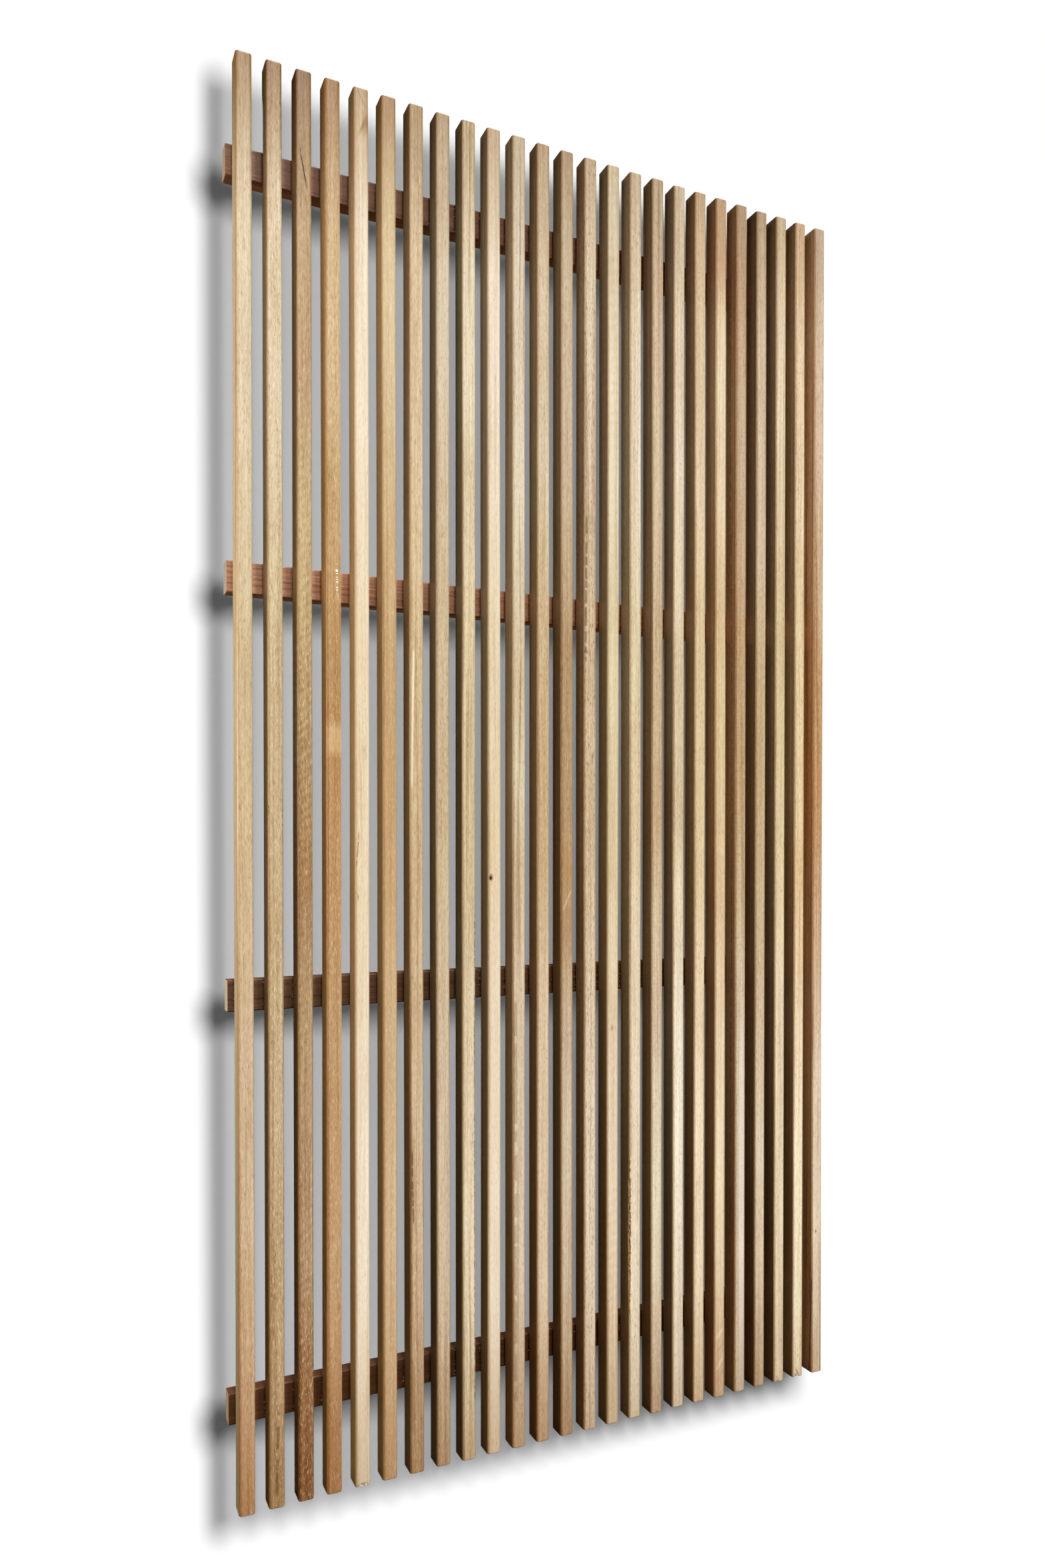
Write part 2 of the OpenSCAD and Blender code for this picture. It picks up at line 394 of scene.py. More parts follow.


# From the left: the tone, how the stick differs from plain timber, and by height in mm
# how far its tone drifts and how strong its ripple is. A side above 1 paints more light on
# the narrow faces, and below 1 more shade
BATTENS = [
    dict(tone="straw", level=0.98, side=1.3, side_drift=0.4, curl=0.0011,
         drift={0: 1.2, 150: 0.9, 400: 0.5, 900: 0.3, 1300: 0.0, 1680: 0.0, 1800: 0.2}),
    dict(tone="straw", side=1.1, side_drift=0.6, second="#D8C4A8", curl=0.0020, streaks=0.35, flecks=0.30,
         pores=0.5,
         drift={0: 1.0, 280: 1.0, 400: 0.7, 800: 0.6, 1100: 0.2, 1300: 0.0, 1650: 0.1, 1800: 0.6}),
    dict(tone="brown", level=1.02, side=1.15, side_drift=0.5, second="#D2B49E", curl=0.0016, flecks=0.14,
         ripple_flecks=1.6, fleck="#E9D3AC", ripple_tilt=38, ripple_mm=10,
         drift={0: 1.2, 150: 1.1, 300: 0.5, 650: 0.35, 790: 0.9, 950: 0.3, 1100: 0.0, 1250: -0.4, 1420: 0.4,
                1560: 0.2, 1800: 0.3},
         ripple={0: 0.25, 250: 0.15, 500: 0.05, 700: 0.12, 1000: 0.22, 1200: 0.12, 1500: 0.04}),
    dict(tone="amber", level=1.04, side=2.3, side_drift=0.0,
         drift={0: 0.9, 300: 0.5, 420: 0.6, 550: 0.4, 900: 0.7, 1100: 0.6, 1350: 0.0, 1700: 0.0, 1800: 0.2}),
    dict(tone="cream", side=1.3, side_drift=0.0, fine=0.8, pores=0.25,
         drift={0: 0.3, 250: 0.25, 500: 0.3, 900: 0.3, 1100: 0.3, 1300: 0.1, 1650: 0.1, 1800: 0.4},
         knots=[knot((955, 1.5), 3.2, tint=0.15, stretch=4)]),
    dict(tone="honey", level=1.02, side=1.35, side_drift=0.5, fine=0.6, pores=0.2, fibre=1.0,
         drift={0: 0.6, 300: 0.3, 650: 0.4, 900: 0.5, 1150: 0.3, 1350: 0.0, 1650: -0.2, 1800: 0.2}),
    dict(tone="pink", level=0.95, side=0.9, side_drift=0.3, second="#D6C0A8", streaks=0.5, curl=0.0012,
         drift={0: 0.9, 150: 0.6, 400: 0.3, 650: 0.3, 900: 0.1, 1300: -0.2, 1500: 0.0, 1650: 0.1,
                1800: 0.1}),
    dict(tone="greyed", level=0.94, side=0.75, side_drift=0.6, saw=0.10,
         drift={0: 1.0, 200: 0.5, 400: 0.4, 900: 0.45, 1150: 0.35, 1300: 0.2, 1600: 0.1, 1800: 0.1}),
    dict(tone="olive", level=0.97, side=0.68, fibre=1.7, streaks=0.5, streak="#B59A6A", saw=0.06,
         drift={0: 0.7, 150: 0.1, 400: 0.2, 900: 0.2, 1300: 0.0, 1600: -0.2, 1800: 0.0}),
    dict(tone="cream", level=0.95, side=0.88, fine=0.8, pores=0.3,
         drift={0: 0.6, 150: 0.2, 400: 0.3, 700: 0.4, 850: 0.5, 1050: 0.2, 1300: 0.1, 1600: 0.1, 1800: 0.4},
         knots=[knot((788, -5.6), 3.5, heart=1.7, halo=4.0, tint=0.8, stretch=1.6)]),
    dict(tone="ash", level=0.92, side=1.08, streaks=0.7, streak="#B08C5E",
         drift={0: 1.0, 250: 0.5, 600: 0.5, 800: 0.4, 930: -0.1, 1100: 0.3, 1250: -0.3, 1450: 0.2,
                1650: -0.1, 1800: -0.2}),
    dict(tone="straw", level=0.95, side=0.79, saw=0.05,
         drift={0: 0.8, 300: 0.2, 650: 0.4, 900: 0.6, 1150: 0.4, 1300: 0.0, 1600: 0.2, 1800: 0.2}),
    dict(tone="dusky", level=0.88, side=0.82, second="#DEC2A0",
         drift={0: 0.9, 200: 0.4, 350: 0.2, 600: 0.3, 700: 0.9, 850: 0.8, 1100: 0.6, 1350: 0.1, 1600: 0.0,
                1800: 0.1}),
    dict(tone="tan", level=0.98, side=1.05, pores=0.7, pore="#7E6442", streaks=0.5,
         drift={0: 0.1, 200: 0.2, 350: 0.0, 900: 0.3, 1300: 0.1, 1600: 0.0, 1800: 0.2}),
    dict(tone="oat", level=0.93, side=0.65, fine=0.7, pores=0.25, ripple_tilt=14, ripple_mm=15,
         drift={0: 0.4, 200: 0.4, 350: 0.2, 650: 0.3, 900: 0.1, 1300: -0.2, 1600: 0.1, 1800: -0.4},
         ripple={100: 0.0, 160: 0.10, 300: 0.10, 380: 0.02, 1350: 0.02, 1450: 0.07, 1650: 0.06},
         knots=[knot((571, -1.0), 2.0, heart=0.5, halo=2.5, tint=0.6, colour="#7A5630")]),
    dict(tone="greyed", side=1.1, flecks=0.3,
         drift={0: 0.0, 600: 0.1, 900: 0.1, 1300: -0.3, 1600: 0.0, 1800: 0.1}),
    dict(tone="dusky", level=0.95, side=0.72, streaks=0.5, ripple_mm=6, ripple_tilt=3,
         drift={0: 0.4, 330: -0.4, 600: 0.2, 700: 0.0, 850: 0.3, 1100: 0.1, 1250: 0.1, 1400: 0.0, 1650: 0.2,
                1800: -0.1},
         ripple={500: 0.03, 650: 0.06, 900: 0.02}),
    dict(tone="ash", level=0.98, side=0.8, fibre=1.6,
         drift={0: 0.1, 300: -0.2, 560: -0.4, 680: -0.1, 900: 0.4, 1100: 0.0, 1400: 0.0, 1600: 0.4,
                1800: 0.0}),
    dict(tone="oat", side=0.78, side_drift=1.5, fine=0.8,
         drift={0: 0.5, 150: 0.1, 330: 0.2, 600: 0.3, 900: 0.3, 1100: 0.3, 1350: 0.3, 1800: 0.4}),
    dict(tone="pink", level=1.04, side=1.03, fibre=0.9, pores=0.25,
         drift={0: 0.5, 150: 0.1, 330: -0.3, 600: 0.0, 800: 0.2, 950: 0.0, 1250: 0.1, 1500: -0.3,
                1600: -0.2, 1700: 0.6, 1800: 0.4}),
    dict(tone="oat", level=0.81, second="#E4C8B2", ripple_mm=6, ripple_tilt=3,
         drift={0: 0.3, 330: 0.2, 600: 0.3, 900: 0.7, 1200: 0.8, 1450: 0.7, 1700: 0.9, 1800: 0.4},
         ripple={0: 0.03, 400: 0.06, 1800: 0.05}),
    dict(tone="greyed", level=0.93, side=0.54, fibre=1.5,
         drift={0: 0.8, 330: 0.1, 600: 0.6, 900: 0.7, 1100: 0.7, 1250: 0.3, 1500: 0.6, 1800: 0.6}),
    dict(tone="olive", side=0.76, saw=0.05,
         drift={0: 0.0, 330: 0.1, 600: 0.1, 900: 0.1, 1250: 0.5, 1450: 0.3, 1800: 0.1}),
    dict(tone="oat", level=1.07, side=0.88, fibre=1.6, curl=0.0009,
         drift={0: -0.2, 150: -0.4, 330: -0.1, 600: 0.3, 800: 0.7, 900: 0.2, 1250: 0.2, 1450: 0.4,
                1800: 0.5}),
    dict(tone="rose", side=1.75, streaks=0.6,
         drift={0: 0.1, 330: -0.1, 600: 0.3, 900: 0.9, 1100: 0.8, 1250: 0.4, 1600: 0.3, 1800: -0.1},
         knots=[knot((224, -2.3), 2.0, heart=0.7, halo=1.8, tint=0.6)]),
]

# Lines and stains by the number of the stick, with painted shade along a check and a
# painted sheen
MARKS = {
    1: [mark((884, -6.6), (872, -6.4), 0.5, STAIN, 0.7),
        mark((311, -6.8), (303, -6.4), 0.5, "#5A3A1C", 0.8)],
    2: [mark((885, -9.2), (866, -8.9), 0.5, "#4A341C", 0.9, broken=0.45, piece=5),
        mark((900, 8.4), (815, 8.8), 0.3, "#6A4A2A", 0.8, broken=0.5, piece=6),
        mark((125, 2.0), (15, -1.0), 0.8, "#5A3E20", 0.6, soft=1.5, broken=0.45, piece=20)],
    # The dark lines along this stick's check are painted shade
    3: [mark((1708, -5.9), (1678, -0.6), 0.25, BARK_AND_CHECK_SHADE, 0.9, soft=0.3, ragged=0.5, fade=4),
        mark((1680, -0.8), (1648, 4.3), 0.3, BARK_AND_CHECK_SHADE, 0.9, soft=0.3, ragged=0.5, fade=5)],
    4: [mark((990, 0), (942, 0), 14, "#DCC096", 0.30, soft=2, ragged=0, fade=12),
        mark((1190, 3.5), (1150, 4.5), 1.0, "#FBF6EA", 1.0, ragged=3.0, broken=0.55, piece=3)],
    5: [mark((1799, -5.4), (1786, -0.2), 0.2, "#6E5430", 0.8, ragged=0.3, fade=2),
        mark((1788, -0.8), (1774, 7.5), 0.6, "#B8955C", 0.7, soft=1.5, fade=4),
        mark((1768, 8.5), (1736, -4.5), 0.7, "#9A7038", 0.75, soft=2.0, fade=14),
        mark((1774, 9.0), (1738, 5.0), 2.8, "#A27A42", 0.75, soft=4.0, ragged=0.5, fade=16),
        mark((850, -4.6), (803, -7.6), 0.25, "#6E5430", 0.9, broken=0.4, piece=10),
        mark((772, -6.4), (758, -5.6), 0.7, STAIN, 0.7)],
    7: [mark((1090, -4.0), (905, -7.0), 0.8, PALE, 0.5, soft=1.2),
        mark((430, -7.2), (330, -5.2), 0.5, BARK_AND_CHECK_SHADE, 0.95, soft=0.5, broken=0.42, piece=9),
        mark((480, -7.0), (300, -5.0), 1.6, STAIN, 0.5, soft=2.5, fade=60),
        mark((160, -7.0), (40, -5.0), 1.2, STAIN, 0.45, soft=2.0, fade=30)],
    9: [mark((740, 8.4), (78, 8.2), 0.45, BARK_AND_CHECK_SHADE, 0.95, soft=0.3, broken=0.49, piece=9),
        mark((1795, 0.0), (1650, 2.0), 0.3, "#8A7648", 0.7, broken=0.4, piece=30)],
    11: [mark((940, -2.0), (640, 1.0), 0.8, STAIN, 0.5, soft=2.0, fade=60),
         mark((620, -5.0), (60, -5.0), 1.2, "#7E5A30", 0.45, soft=2.0, ragged=2.0, broken=0.42, piece=25)],
    13: [mark((772, 7.5), (738, -7.5), 0.7, "#F0D8A4", 0.3, soft=1.5),
         mark((840, -2.0), (765, 2.0), 5.0, "#A87A3C", 0.35, soft=4, ragged=3, fade=25)],
    14: [mark((1300, -6.0), (1090, -7.5), 1.0, "#4E4028", 0.6, soft=1.5, broken=0.42, piece=14),
         mark((1310, 1.0), (1240, 3.0), 2.5, "#9A8460", 0.4, soft=2.5, broken=0.4, piece=20)],
    16: [mark((385, -7.2), (150, -6.6), 0.7, "#F0D9A0", 0.9, soft=0.6, ragged=2.5, broken=0.45, piece=8),
         mark((385, -8.4), (150, -8.0), 0.4, "#5A4020", 0.8, ragged=2.0, broken=0.5, piece=10)],
    20: [mark((106, 8.0), (84, -8.0), 0.8, "#EBD3B0", 0.40, soft=2.5, fade=8),
         mark((84, 8.5), (62, -8.0), 1.0, "#8E6A48", 0.30, soft=2.5, fade=8),
         mark((64, 9.0), (38, -7.0), 1.0, "#EBD3B0", 0.40, soft=2.5, fade=8),
         mark((44, 9.0), (16, -7.0), 0.8, "#8E6A48", 0.30, soft=2.5, fade=8)],
    21: [mark((1710, -25.5), (890, -16.2), 0.35, BARK_AND_CHECK_SHADE, 0.95, soft=0.3, broken=0.44, piece=14, ragged=0.6),
         mark((910, -16.2), (75, -22.0), 0.35, BARK_AND_CHECK_SHADE, 0.95, soft=0.3, broken=0.44, piece=14, ragged=0.6),
         # A pale streak painted on the front as a painted sheen
         mark((640, 2.5), (-60, 2.5), 3.5, "#E8DAD2", 0.42, soft=3.0, fade=160)],
    23: [mark((12, -4.0), (2, -3.0), 1.5, STAIN, 0.6, ragged=2)],
    24: [mark((16, -5.0), (2, 2.0), 1.5, "#6A4A26", 0.8, ragged=3, broken=0.45, piece=4)],
    25: [mark((152, -9.7), (84, -10.7), 0.45, BARK_AND_CHECK_SHADE, 0.9, ragged=0.4),
         mark((90, -10.6), (46, -13.3), 0.6, BARK_AND_CHECK_SHADE, 0.95, ragged=0.4),
         mark((50, -13.2), (-6, -15.0), 0.55, BARK_AND_CHECK_SHADE, 0.95, ragged=0.4),
         mark((175, -13.5), (108, -13.0), 0.3, "#3A2012", 0.8)],
}

# Open checks as (height, across) along the front, with half width and depth, in mm
CHECKS = {3: ([(1708, -5.8), (1694, -3.7), (1678, -0.6), (1660, 2.0), (1648, 4.2)], 0.60, 2.5)}
# Half a front's flat, how far a check bends its columns past its ends, and half its tips
FLAT_HALF = 0.006
CHECK_REACH = 0.020
CHECK_TIP = 0.00015
# Dents as middle (across, depth, height), reach the same way and push, in mm. Depth 0
# is the front face. The last number is how torn the dent is.
DENTS = {
    2: [((-10, 28, 1700), (6, 9, 75), (2.5, -2.5, 0), 0.2)],
    5: [((0, 0, 0), (9, 5, 5), (0, 0.8, 1.6), 1.0)],
    7: [((-9, 1, 370), (1.6, 1.6, 25), (0.6, 0.6, 0), 0.6)],
    9: [((9, 1, 400), (1.5, 1.5, 330), (-0.4, 0.4, 0), 1.0)],
    10: [((-5.6, 0, 788), (2.0, 2.0, 3.0), (0, 1.4, 0), 0.3)],
    16: [((-9, 1, 270), (2.6, 2.6, 115), (0.9, 0.7, 0), 1.0)],
    23: [((-3, 0, 0), (5, 3, 4), (0, 0.8, 1.5), 0.8)],
    24: [((-2, 0, 0), (6, 3, 5), (0, 1.0, 1.8), 1.0)],
}

# The narrow faces are painted browner below, in three tints from the left to the right, as
# painted warm shade for the light that bounces between the battens
NARROW_WARM_SHADES = ("#E7E1CB", "#F1DEBC", "#F7DCBC")
STICKS_A_TINT = 9
NARROW_WARM_SHADE_Z = (0.20, 0.80)
NARROW_WARM_SHADE_ABOVE = 0.35
# Their painted shade: how bright the narrow faces are below and above, as a start and a
# step for every stick to the right
NARROW_SHADE_Z = (0.30, 0.90)
NARROW_BELOW = (0.85, -0.0075)
NARROW_ABOVE = (0.92, 0.0065)
# The girths between which the left front corner is painted darker, as painted shade
CORNER_SHADE_INNER = (-0.0060, -0.0096)
CORNER_SHADE_OUTER = (-0.0135, -0.0118)
# Foot and head of the front are painted darker as painted shade, the head less from stick
# to stick
FOOT_AND_HEAD_SHADE = "#C4B296"
FOOT_SHADE_Z = (0.22, 0.0)
FOOT_SHADE_SHARE = 0.55
HEAD_SHADE_Z = (1.60, 1.80)
HEAD_SHADE_SHARE = (1.25, -0.05)
HEAD_SHADE_LEAST = 0.55
# The waist is painted a little yellower, for the weaker sheen at that height
WAIST = "#FCFBF1"
WAIST_Z = 0.97
WAIST_FADE = (0.15, 0.42)


def paint_batten_light_and_shade(add, wood, look, girth, height, narrow):
    """Paints shade on a batten's narrow faces, front left corner, foot and head, and a yellower waist for
    its weaker sheen.
    """
    # Painted warm shade on the narrow faces, strongest below
    warm_shade = add("MapRange", [height, *NARROW_WARM_SHADE_Z, 1.0, NARROW_WARM_SHADE_ABOVE])
    warm_shade = add("Math", [warm_shade, narrow], "MULTIPLY")
    wood = add("Mix", [warm_shade, wood, linear(look["narrow"])], **GLAZE)
    # Painted shade on the front left corner
    arris = add("MapRange", [girth, *CORNER_SHADE_INNER])
    beyond = add("MapRange", [girth, *CORNER_SHADE_OUTER])
    arris = add("Math", [arris, beyond], "MULTIPLY")
    wood = add("Mix", [arris, wood, linear(look["arris"])], **GLAZE)
    # Painted light and shade on the narrow faces: as bright as the stick's side says, darker below
    side = add("MapRange", [height, *NARROW_SHADE_Z, look["side_low"], look["side_high"]])
    shade = add("Mix", [narrow, look["level"], side], data_type="FLOAT")
    wood = add("VectorMath", [wood, shade], "SCALE")
    # Painted shade at the front's foot and head
    front = add("Math", [1.0, narrow], "SUBTRACT")
    foot = add("MapRange", [height, *FOOT_SHADE_Z, 0.0, FOOT_SHADE_SHARE])
    head = add("MapRange", [height, *HEAD_SHADE_Z, 0.0, look["head"]])
    ends = add("Math", [foot, front, head], "MULTIPLY_ADD")
    wood = add("Mix", [ends, wood, linear(FOOT_AND_HEAD_SHADE)], **GLAZE)
    # A yellower waist, painted for the weaker sheen there
    waist = add("Math", [height, WAIST_Z], "SUBTRACT")
    waist = add("Math", [waist], "ABSOLUTE")
    waist = add("MapRange", [waist, *WAIST_FADE, 1.0, 0.0])
    return add("Mix", [waist, wood, linear(WAIST)], **GLAZE)


def ramp(stops, at):
    """Value at a place between stops, which are pairs of place and value."""
    for (low, start), (high, end) in zip(stops, stops[1:]):
        if at <= high:
            return start + (end - start) * max(0.0, (at - low) / (high - low))
    return stops[-1][1] if stops else 0.0


def rotate(bm, angle, axis, verts=None):
    """Turns all of a bmesh, or some of its points, round an axis."""
    bmesh.ops.rotate(bm, verts=verts or bm.verts[:], matrix=Matrix.Rotation(angle, 3, axis))


def rounded_section(bm, width, depth, corner_r, corner_steps, face_cuts, side_cuts):
    """A flat rectangle with round corners, cut into columns, as the start of a stick."""
    bmesh.ops.create_circle(bm, cap_ends=True, segments=4, radius=math.sqrt(0.5))
    rotate(bm, math.radians(45), "Z")
    bmesh.ops.scale(bm, verts=bm.verts[:], vec=(width, depth, 1))
    bmesh.ops.bevel(bm, geom=bm.verts[:], offset=corner_r, segments=corner_steps, profile=0.5,
                    affect="VERTICES", material=-1)
    flats = [e for e in bm.edges if e.calc_length() > 1.5 * corner_r]
    faces = [e for e in flats if abs(e.verts[0].co.y - e.verts[1].co.y) < SAME]
    bmesh.ops.subdivide_edges(bm, edges=faces, cuts=face_cuts)
    sides = [e for e in bm.edges if e.calc_length() > 1.5 * corner_r and e.is_boundary]
    bmesh.ops.subdivide_edges(bm, edges=sides, cuts=side_cuts)


def girth_of(vert, width, depth):
    """Distance round the section from the middle of the front face, minus to the left."""
    flat_x = width / 2 - CORNER_R
    flat_y = depth / 2 - CORNER_R
    x, y = abs(vert.co.x), vert.co.y
    quarter = CORNER_R * math.pi / 2
    if y < -flat_y:
        turn = math.atan2(max(0.0, x - flat_x), -flat_y - y)
        along = min(x, flat_x) + CORNER_R * turn
    elif y <= flat_y:
        along = flat_x + quarter + y + flat_y
    else:
        turn = math.atan2(y - flat_y, max(0.0, x - flat_x))
        along = flat_x + quarter + 2 * flat_y + CORNER_R * turn + max(0.0, flat_x - x)
    return math.copysign(along, vert.co.x)


def heights(length, close_ranges=()):
    """Heights at which a stick gets a ring of points, close together where it is marked."""
    steps = round(length / LEVEL_STEP)
    levels = [length * k / steps for k in range(steps + 1)]
    for low, high in close_ranges:
        low, high = max(0.0, low), min(length, high)
        steps = max(1, round((high - low) / FINE_STEP))
        levels += [low + (high - low) * k / steps for k in range(steps + 1)]
    levels.sort()
    kept = [levels[0]]
    kept += [b for a, b in zip(levels, levels[1:]) if b - a > 0.2 * FINE_STEP]
    inner = [level for level in kept if END_RING < level < length - END_RING]
    return [0.0, END_RING] + inner + [length - END_RING, length]


def pull_up(bm, levels):
    """Extrudes the flat section level by level into a closed stick with no face inside."""
    top = bm.faces[:]
    height = levels[0]
    for level in levels[1:]:
        grown = bmesh.ops.extrude_face_region(bm, geom=top)
        if height > levels[0]:
            bmesh.ops.delete(bm, geom=top, context="FACES_ONLY")
        top = [item for item in grown["geom"] if isinstance(item, bmesh.types.BMFace)]
        corners = list({v for face in top for v in face.verts})
        bmesh.ops.translate(bm, verts=corners, vec=(0, 0, level - height))
        height = level
    bmesh.ops.recalc_face_normals(bm, faces=bm.faces[:])


def ease_ends(bm):
    """Takes the sharp edge off both ends of a stick."""
    rims = [e for e in bm.edges if len(e.link_faces) == 2
            and sum(abs(f.normal.z) > 0.9 for f in e.link_faces) == 1]
    bmesh.ops.bevel(bm, geom=rims, offset=END_CHAMFER, segments=END_CHAMFER_STEPS, profile=0.5,
                    affect="EDGES", material=-1)


def open_check(bm, path, half_width, depth, half_depth, dark):
    """Splits the front face along a path, tapering to both ends, and marks its floor for painted shade."""
    stops = sorted((z / 1000, x / 1000) for z, x in path)
    low, high = stops[0][0], stops[-1][0]
    half_width, depth = half_width / 1000, depth / 1000
    flat = FACE_COLUMNS + 1
    middle = flat // 2
    for vert in bm.verts:
        outside = max(low - vert.co.z, vert.co.z - high, 0.0)
        column = round((vert.co.x + FLAT_HALF) / (2 * FLAT_HALF) * flat)
        if vert.co.y > -half_depth + SAME or outside >= CHECK_REACH or not 0 <= column <= flat:
            continue
        taper = math.sin(math.pi * min(1.0, max(0.0, (vert.co.z - low) / (high - low))))
        centre = ramp(stops, vert.co.z)
        gap = max(half_width * taper, CHECK_TIP)
        moved = ramp([(0, -FLAT_HALF), (middle - 1, centre - gap), (middle, centre),
                      (middle + 1, centre + gap), (flat, FLAT_HALF)], column)
        vert.co.x += (moved - vert.co.x) * (1 - outside / CHECK_REACH)
        if column == middle and outside == 0.0:
            vert.co.y += depth * taper
            vert[dark] = taper


def push_in(bm, centre, reach, push, rough, rng):
    """Pushes in a rounded patch of a stick, smooth or torn."""
    for vert in bm.verts:
        away = Vector([(vert.co[k] - centre[k]) / reach[k] for k in range(3)]).length
        if away < 1:
            amount = (1 - away * away) * (1 - rough + rough * 2 * rng.random())
            vert.co += Vector(push) * amount


def mesh_of(bm, name):
    """Turns a bmesh into a mesh."""
    mesh = bpy.data.meshes.new(name)
    bm.to_mesh(mesh)
    bm.free()
    return mesh


def finish_mesh(bm, name, material):
    """Turns a bmesh into a smooth-shaded piece of the panel."""
    mesh = mesh_of(bm, name)
    mesh.shade_smooth()
    mesh.set_sharp_from_angle(angle=math.radians(SHARP_DEG))
    piece = new_object(name, mesh)
    mesh.materials.append(material)
    flatten = piece.modifiers.new("flat_faces", "WEIGHTED_NORMAL")
    flatten.keep_sharp = True
    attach(piece, "root")
    return piece


def box_of(node_name):
    """The corners, size and middle of a node's solid."""
    low, high = (Vector(corner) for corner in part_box(node_name))
    return low, high, high - low, (low + high) / 2


for number, differs in enumerate(BATTENS, start=1):
    node_name = f"batten_{number:02d}"
    low, high, size, middle = box_of(node_name)
    rng = random.Random(number)
    look = PLAIN | dict(zip(("light", "dark", "second"), TONES[differs["tone"]])) | differs
    look["marks"] = MARKS.get(number, ())

    close = [(z / 1000 - reach_z / 1000, z / 1000 + reach_z / 1000)
             for (_, _, z), (_, _, reach_z), _, _ in DENTS.get(number, [])]
    if number in CHECKS:
        path_heights = [z / 1000 for z, _ in CHECKS[number][0]]
        close.append((min(path_heights) - CHECK_REACH, max(path_heights) + CHECK_REACH))
    bm = bmesh.new()
    rounded_section(bm, size.x, size.y, CORNER_R, CORNER_STEPS, FACE_COLUMNS, SIDE_COLUMNS)
    pull_up(bm, heights(size.z, close))
    ease_ends(bm)

    drift_stops, ripple_stops = list(look["drift"].items()), list(look["ripple"].items())
    names = ("girth", "drift", "ripple", "dark")
    # The dark layer carries the painted shade inside a check
    girth, drift, ripple, dark = (bm.verts.layers.float.new(name) for name in names)
    for vert in bm.verts:
        vert[girth] = girth_of(vert, size.x, size.y)
        vert[drift] = ramp(drift_stops, vert.co.z * 1000)
        vert[ripple] = ramp(ripple_stops, vert.co.z * 1000)
    if number in CHECKS:
        open_check(bm, *CHECKS[number], size.y / 2, dark)
    for centre, reach, push, rough in DENTS.get(number, []):
        centre = (centre[0] / 1000, centre[1] / 1000 - size.y / 2, centre[2] / 1000)
        push_in(bm, centre, [r / 1000 for r in reach], [p / 1000 for p in push], rough, rng)

    # Each stick is sprung a little to one side and cut a little long or short
    phase, swing = rng.uniform(0, FULL_TURN), rng.uniform(-CROOK, CROOK)
    longer = rng.uniform(-TRIM, TRIM)
    for vert in bm.verts:
        along = vert.co.z / size.z
        vert.co.x += swing * math.sin(math.pi * along * 2 + phase)
        vert.co.z += longer * (2 * along - 1)
    bmesh.ops.translate(bm, verts=bm.verts[:], vec=(middle.x, middle.y, low.z))

    # Painted light and shade: how dark the head is, the narrow faces' warm shade, and their brightness below
    # and above
    look["head"] = max(HEAD_SHADE_LEAST, HEAD_SHADE_SHARE[0] + HEAD_SHADE_SHARE[1] * number)
    look["narrow"] = NARROW_WARM_SHADES[(number - 1) // STICKS_A_TINT]
    look["side_low"] = look["side"] * (NARROW_BELOW[0] + NARROW_BELOW[1] * number)
    look["side_high"] = look["side"] * (NARROW_ABOVE[0] + NARROW_ABOVE[1] * number)
    look["pith"] = (rng.uniform(-PITH_ASIDE, PITH_ASIDE), rng.uniform(*PITH_BEHIND), 0)
    look["lean"] = (rng.uniform(-PITH_LEAN, PITH_LEAN), rng.uniform(-PITH_LEAN, PITH_LEAN), 0)
    material = timber(f"planed_hardwood_{number:02d}", look, tuple(middle), number, painted_light_and_shade=paint_batten_light_and_shade)
    piece = finish_mesh(bm, f"batten_{number:02d}_timber", material)
    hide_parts(node_name)

# Rails
# Dark merbau, 40 x 20 mm, planed with slightly eased long edges. They lie behind the
# battens, their end grain shows past the outer ones, and the screws sink into them.
RAIL_CORNER_R = 0.002
RAIL_CORNER_STEPS = 4
RAIL_COLUMNS = (3, 1)
MOUTH_R = 0.00415
MOUTH_DEPTH = 0.0008
BORE_R = 0.00225
HOLE_ABOVE = 0.002
HOLE_BELOW = 0.022
HOLE_SIDES = 24
RAIL_SEED = 41
# Edges that the drilling leaves shorter than this are closed up
SLIVER = 2e-6

MERBAU = PLAIN | dict(second="#E8C8B0", streak="#B89078", pore="#E0B080", fleck="#2A160C", flecks=0.30,
                      pores=0.10, fibre=1.5, end_share=0.9, streaks=0.5, rough=0.55, shine=0.3,
                      pith=(0.02, 0.05, 0), lean=(0.003, 0.005, 0))
# From the top down, the light and dark tone of each rail's timber and its end grain. The
# rails are one timber, and these tones are painted light and shade: the lower two darker,
# the upper middle one lighter
RAILS = {"top_rail": dict(light="#855433", dark="#5B3A22", end="#AD9577"),
         "upper_middle_rail": dict(light="#BE8B6B", dark="#8C6249", end="#A29886"),
         "lower_middle_rail": dict(light="#6C4A32", dark="#4A3422", end="#C2AF94"),
         "bottom_rail": dict(light="#5C361E", dark="#402713", end="#BCA078")}
SCREW_X = [sum(corner.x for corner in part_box(f"batten_{k:02d}")) / 2 for k in range(1, len(BATTENS) + 1)]


def row_of(shape, height, back):
    """Copies a shape made along Z to every screw of a rail, its top to the back."""
    bm = bmesh.new()
    for x in SCREW_X:
        old = set(bm.verts)
        bm.from_mesh(shape)
        new = [v for v in bm.verts if v not in old]
        rotate(bm, math.radians(-90), "X", new)
        bmesh.ops.translate(bm, verts=new, vec=(x, back, height))
    return bm


